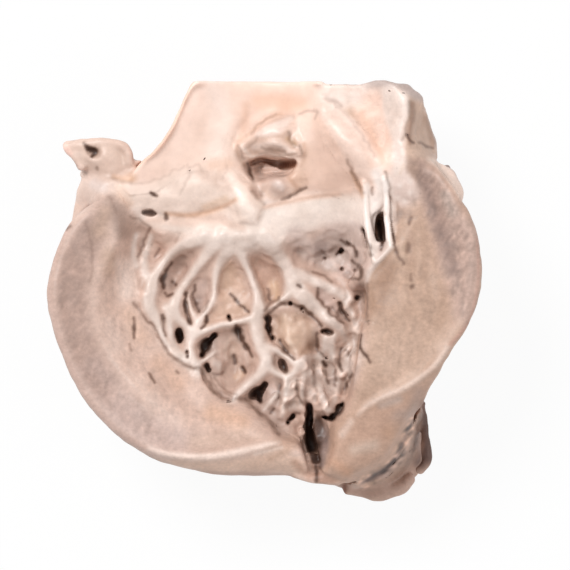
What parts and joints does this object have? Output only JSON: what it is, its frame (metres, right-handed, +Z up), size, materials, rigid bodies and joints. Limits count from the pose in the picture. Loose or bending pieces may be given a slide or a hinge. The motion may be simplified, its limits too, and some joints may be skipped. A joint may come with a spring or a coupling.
{
  "type": "human heart anatomy model",
  "caption": "Anatomy model of an opened human heart: the cut left ventricle is splayed flat to show its muscle bands, mitral valve, aorta and left atrium.",
  "frame": {"origin": "middle of the footprint, at the flat patch on which the model rests", "axes": "+Z up out of the opened left ventricle, +Y to the great vessels, -Y to the apex, +X to the posterior wall"},
  "size_m": [0.1172, 0.113, 0.0531],
  "materials": {
    "print_muscle": "full-colour printed plastic, matte, fine print texture",
    "print_endocardium": "full-colour printed plastic, matte, fine print texture",
    "print_pale": "full-colour printed plastic, matte, fine print texture",
    "print_artery": "full-colour printed plastic, matte, fine print texture",
    "print_fat": "full-colour printed plastic, matte, fine print texture",
    "print_vein": "full-colour printed plastic, matte, fine print texture"
  },
  "bodies": {
    "root": {"right_ventricle": "print_muscle", "right_atrium": "print_vein", "pulmonary_infundibulum": "print_muscle", "septal_wall": "print_endocardium", "anterior_wall_flap": "print_muscle", "posterior_wall_flap": "print_muscle", "outflow_tract": "print_pale", "groove_fat_lower": "print_fat", "groove_fat_upper": "print_fat", "left_coronary_bulb": "print_pale", "anterior_fat": "print_fat", "posterior_fat_lobe": "print_fat", "aortic_root": "print_fat", "aortic_wall": "print_artery", "right_coronary_cusp": "print_pale", "left_coronary_cusp": "print_pale", "noncoronary_cusp": "print_fat", "aortomitral_curtain": "print_artery", "mitral_anterior_leaflet": "print_pale", "mitral_posterior_leaflet": "print_pale", "chordae_tendineae": "print_pale", "posterior_papillary_muscle": "print_pale", "trabeculae_anterior": "print_pale", "trabeculae_septal": "print_pale", "trabeculae_posterior": "print_pale", "trabeculae_apical": "print_pale", "left_atrium": "print_endocardium", "left_atrial_rim": "print_pale", "left_atrial_roof": "print_vein", "left_auricle": "print_fat", "superior_vena_cava": "print_vein", "inferior_vena_cava": "print_vein", "pulmonary_trunk": "print_artery", "coronary_sinus": "print_vein", "anterior_interventricular_artery": "print_fat", "posterior_interventricular_artery": "print_vein"}
  },
  "joints": []
}
